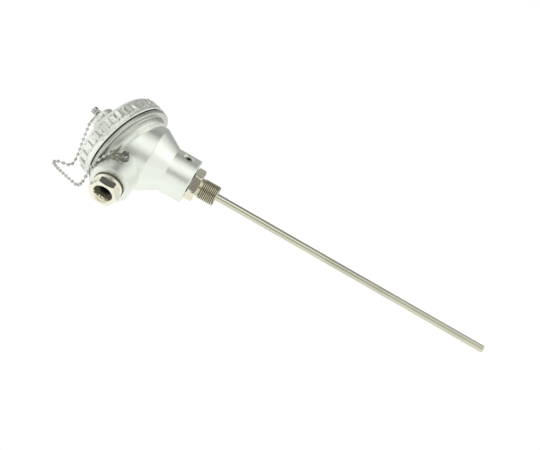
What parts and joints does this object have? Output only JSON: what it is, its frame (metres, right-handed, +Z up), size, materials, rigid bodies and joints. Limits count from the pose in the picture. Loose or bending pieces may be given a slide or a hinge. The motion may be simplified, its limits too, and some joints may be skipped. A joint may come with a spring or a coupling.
{
  "type": "resistance temperature probe with connection head",
  "caption": "Rod-shaped temperature probe with a threaded process fitting, a cast connection head, a chained screw cap and a cable gland.",
  "frame": {"origin": "on the floor under the middle of the whole object's box, the probe lying at rest on its sheath's tip, rim flange and gland nut", "axes": "+Z up from the floor, +X the way the sheath points, -Y the side the cable gland points to"},
  "size_m": [0.3837, 0.0983, 0.0803],
  "materials": {
    "cast_aluminium": "silver paint on a casting, satin",
    "cap_aluminium": "silver paint on a rough casting",
    "black_rubber": "matt",
    "stainless": "bright turned",
    "nickel_brass": "nickel plated, bright",
    "chain_steel": "bright",
    "set_screw_steel": "dull",
    "ceramic": "unglazed",
    "brass_clamp": "plain",
    "lead_insulation": "matt",
    "slip_plastic": "smooth"
  },
  "bodies": {
    "housing": {"head_body": "cast_aluminium", "cap_gasket": "black_rubber", "bead_chain": "chain_steel", "body_chain_clasp": "chain_steel", "body_chain_screw": "chain_steel", "gland_body": "nickel_brass", "gland_washer": "black_rubber", "gland_seal": "black_rubber", "neck_set_screw": "set_screw_steel", "process_fitting": "stainless", "sheath": "stainless", "measuring_resistor": "ceramic", "insulation_core": "ceramic", "lead_wires": "lead_insulation", "insert_plate": "stainless", "terminal_block": "ceramic", "terminal_clamps": "brass_clamp", "terminal_screws": "chain_steel", "insert_screws": "chain_steel", "insert_springs": "set_screw_steel"},
    "cap_swivel": {"cap_chain_eyelet": "chain_steel"},
    "screw_cap": {"cap": "cap_aluminium", "cap_chain_screw": "chain_steel"},
    "gland_press": {"gland_slip_ring": "slip_plastic"},
    "gland_cap": {"gland_nut": "nickel_brass"}
  },
  "joints": [
    {"name": "cap_lift", "type": "slide", "parent": "housing", "child": "cap_swivel", "axis": [-0.8992, 0.3378, 0.278], "range_m": [0, 0.008], "deforming": ["bead_chain"]},
    {"name": "cap_turn", "type": "hinge", "parent": "cap_swivel", "child": "screw_cap", "pos_m": [-0.13803, 0.0073, 0.0385], "axis": [-0.8992, 0.3378, 0.278], "range_deg": [0, 1440]},
    {"name": "gland_press_slide", "type": "slide", "parent": "housing", "child": "gland_press", "axis": [-0.0505, -0.8827, -0.4672], "range_m": [0, 0.003]},
    {"name": "gland_nut_turn", "type": "hinge", "parent": "gland_press", "child": "gland_cap", "pos_m": [-0.13562, -0.03745, 0.01427], "axis": [-0.0505, -0.8827, -0.4672], "range_deg": [0, 720]}
  ],
  "couplings": [
    {"joint": "cap_lift", "follows": "cap_turn", "m_per_rad": 0.00031828},
    {"joint": "gland_press_slide", "follows": "gland_nut_turn", "m_per_rad": 0.00023871}
  ]
}
